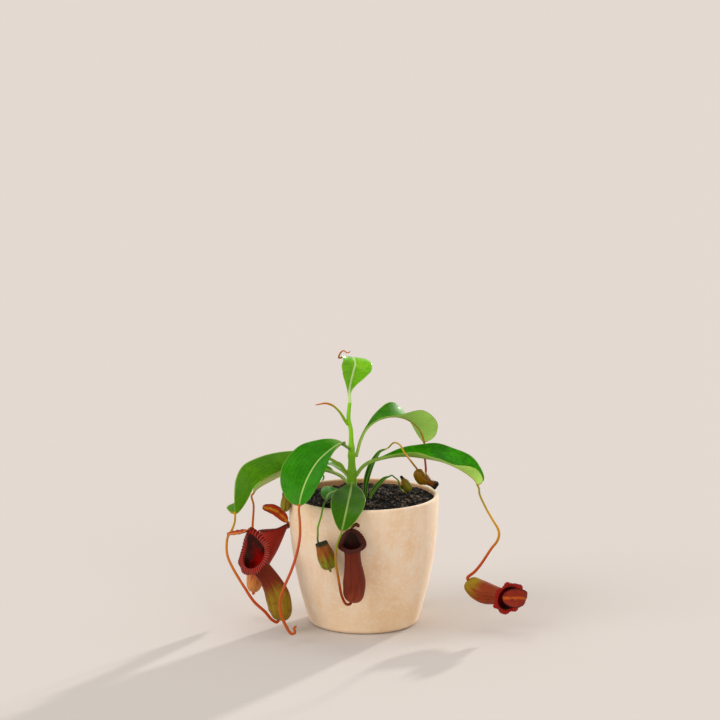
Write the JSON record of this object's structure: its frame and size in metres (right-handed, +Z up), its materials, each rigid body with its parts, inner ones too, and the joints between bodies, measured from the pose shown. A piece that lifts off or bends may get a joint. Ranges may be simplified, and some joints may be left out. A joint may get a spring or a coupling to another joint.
{
  "type": "potted pitcher plant",
  "caption": "Tropical pitcher plant in a bowed clay pot: arching glossy leaves on a short stem, with hanging tendrils that end in lidded red and olive pitchers.",
  "frame": {"origin": "middle of the flat base that the pot stands on", "axes": "+Z up along the pot's axis; +X to the plant's right, its longest extent; -Y towards the viewer of its front"},
  "size_m": [0.2797, 0.1898, 0.2589],
  "materials": {
    "clay": "matt unglazed clay",
    "soil": "damp potting mix with bark",
    "stem_green": "satin plant skin",
    "leaf_green": "glossy plant skin",
    "young_green": "glossy plant skin",
    "tendril_red": "satin plant skin",
    "tendril_gold": "satin plant skin",
    "tendril_green": "satin plant skin",
    "pitcher_red": "satin plant skin",
    "pitcher_olive": "satin plant skin",
    "lid_red": "satin plant skin"
  },
  "bodies": {
    "root": {"pot": "clay", "soil": "soil", "stem": "stem_green", "tendril_young": "tendril_green", "leaf_top": "young_green", "tendril_top": "tendril_red", "leaf_front_left": "leaf_green", "tendril_front_left": "tendril_red", "leaf_left": "leaf_green", "tendril_left": "tendril_gold", "pitcher_left": "pitcher_red", "lid_left": "lid_red", "leaf_left_back": "leaf_green", "tendril_left_back": "tendril_red", "pitcher_left_back": "pitcher_red", "lid_left_back": "lid_red", "leaf_back_left": "leaf_green", "tendril_back_left": "tendril_green", "pitcher_back_left": "pitcher_olive", "leaf_front": "leaf_green", "tendril_front": "tendril_gold", "pitcher_front": "pitcher_red", "lid_front": "lid_red", "leaf_small_left": "leaf_green", "tendril_small_left": "tendril_green", "pitcher_small_left": "pitcher_olive", "leaf_right_upper": "leaf_green", "tendril_right_upper": "tendril_red", "pitcher_right_upper": "pitcher_red", "lid_right_upper": "lid_red", "leaf_right": "leaf_green", "tendril_right": "tendril_gold", "pitcher_right": "pitcher_olive", "lid_right": "lid_red", "leaf_basal_right": "leaf_green", "tendril_basal_right": "tendril_gold", "pitcher_basal_right": "pitcher_olive", "leaf_small_right": "leaf_green", "tendril_small_right": "tendril_green", "pitcher_small_right": "pitcher_olive"}
  },
  "joints": []
}
